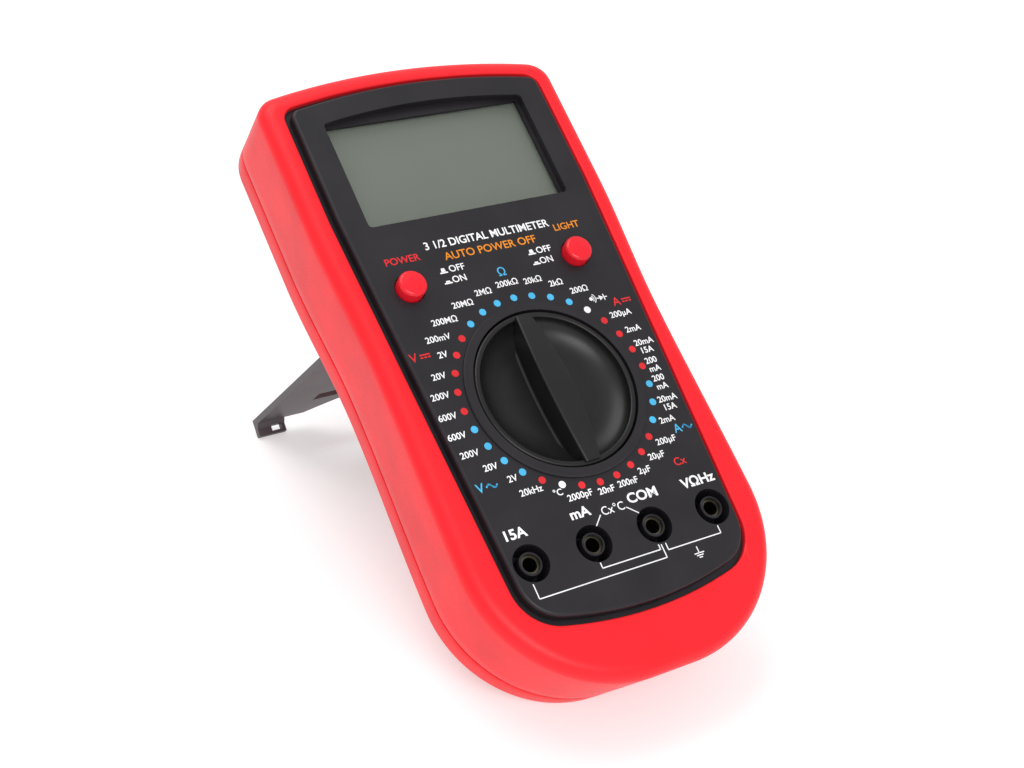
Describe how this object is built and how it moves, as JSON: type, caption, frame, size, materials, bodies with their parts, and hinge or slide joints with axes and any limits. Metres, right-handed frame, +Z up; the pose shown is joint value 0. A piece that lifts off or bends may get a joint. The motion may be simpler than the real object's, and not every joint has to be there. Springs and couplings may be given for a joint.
{
  "type": "digital multimeter",
  "caption": "Handheld digital multimeter with a rotary range selector, push buttons and plug sockets, in a soft holster that leans on a fold-out stand.",
  "frame": {"origin": "on the floor, under the middle of the bounding box, with the meter leaning on its open stand", "axes": "+X to the meter's right, +Y away from the user towards the display end, +Z up; the face leans back 35 degrees from lying flat"},
  "size_m": [0.0942, 0.1854, 0.1313],
  "materials": {
    "red_rubber": "soft satin moulded rubber",
    "black_plastic": "fine matte texture",
    "zinc_steel": "zinc plated",
    "clear_window": "clear",
    "display_glass": "grey-green liquid crystal",
    "white_plastic": "plain moulded",
    "pink_rubber": "striped elastomer",
    "circuit_board": "solder mask",
    "knob_plastic": "fine satin",
    "gold_contact": "gold flash",
    "polished_steel": "polished",
    "red_plastic": "semi-gloss",
    "fuse_glass": "clear tube",
    "ceramic_body": "glazed",
    "battery_wrap": "plain wrap",
    "wire_insulation": "soft insulation",
    "black_epoxy": "glossy drop",
    "capacitor_sleeve": "shrink sleeve",
    "resistor_body": "lacquered",
    "blue_plastic": "moulded",
    "grey_plastic": "fine texture",
    "socket_brass": "machined"
  },
  "bodies": {
    "meter": {"holster": "red_rubber", "front_case": "black_plastic", "rear_case": "black_plastic", "battery_door": "black_plastic", "battery_door_screw": "zinc_steel", "case_screws": "zinc_steel", "board_screws": "zinc_steel", "display_window": "clear_window", "lcd_panel": "display_glass", "lcd_frame": "white_plastic", "lcd_backlight": "white_plastic", "zebra_strips": "pink_rubber", "main_board": "circuit_board", "detent_ring": "white_plastic", "power_switch": "black_plastic", "light_switch": "black_plastic", "socket_block": "black_plastic", "current_shunt": "zinc_steel", "fuse_ma": "fuse_glass", "fuse_15a": "ceramic_body", "fuse_clips": "zinc_steel", "battery": "battery_wrap", "battery_snap": "black_plastic", "battery_wires": "wire_insulation", "buzzer": "black_plastic", "main_chip": "black_epoxy", "capacitors": "capacitor_sleeve", "resistors": "resistor_body", "trimmers": "blue_plastic", "socket_15a": "socket_brass", "socket_ma": "socket_brass", "socket_com": "socket_brass", "socket_volt": "socket_brass"},
    "selector": {"selector_knob": "knob_plastic", "contact_carrier": "white_plastic", "wiper_contacts": "gold_contact", "detent_balls": "polished_steel", "detent_springs": "zinc_steel"},
    "power_key": {"power_button": "red_plastic", "power_plunger": "white_plastic"},
    "light_key": {"light_button": "red_plastic", "light_plunger": "white_plastic"},
    "stand": {"tilt_stand": "grey_plastic"}
  },
  "joints": [
    {"name": "selector_turn", "type": "hinge", "parent": "meter", "child": "selector", "pos_m": [0, -0.03158, 0.07098], "axis": [0, -0.5786, 0.8156], "continuous": true},
    {"name": "power_press", "type": "slide", "parent": "meter", "child": "power_key", "axis": [0, 0.5786, -0.8156], "range_m": [0, 0.0025], "stiffness_N_per_m": 400, "springref_m": -0.0015},
    {"name": "light_press", "type": "slide", "parent": "meter", "child": "light_key", "axis": [0, 0.5786, -0.8156], "range_m": [0, 0.0025], "stiffness_N_per_m": 400, "springref_m": -0.0015},
    {"name": "stand_fold", "type": "hinge", "parent": "meter", "child": "stand", "pos_m": [0, 0.02478, 0.06792], "axis": [-1, 0, 0], "range_deg": [0, 100.9]}
  ]
}
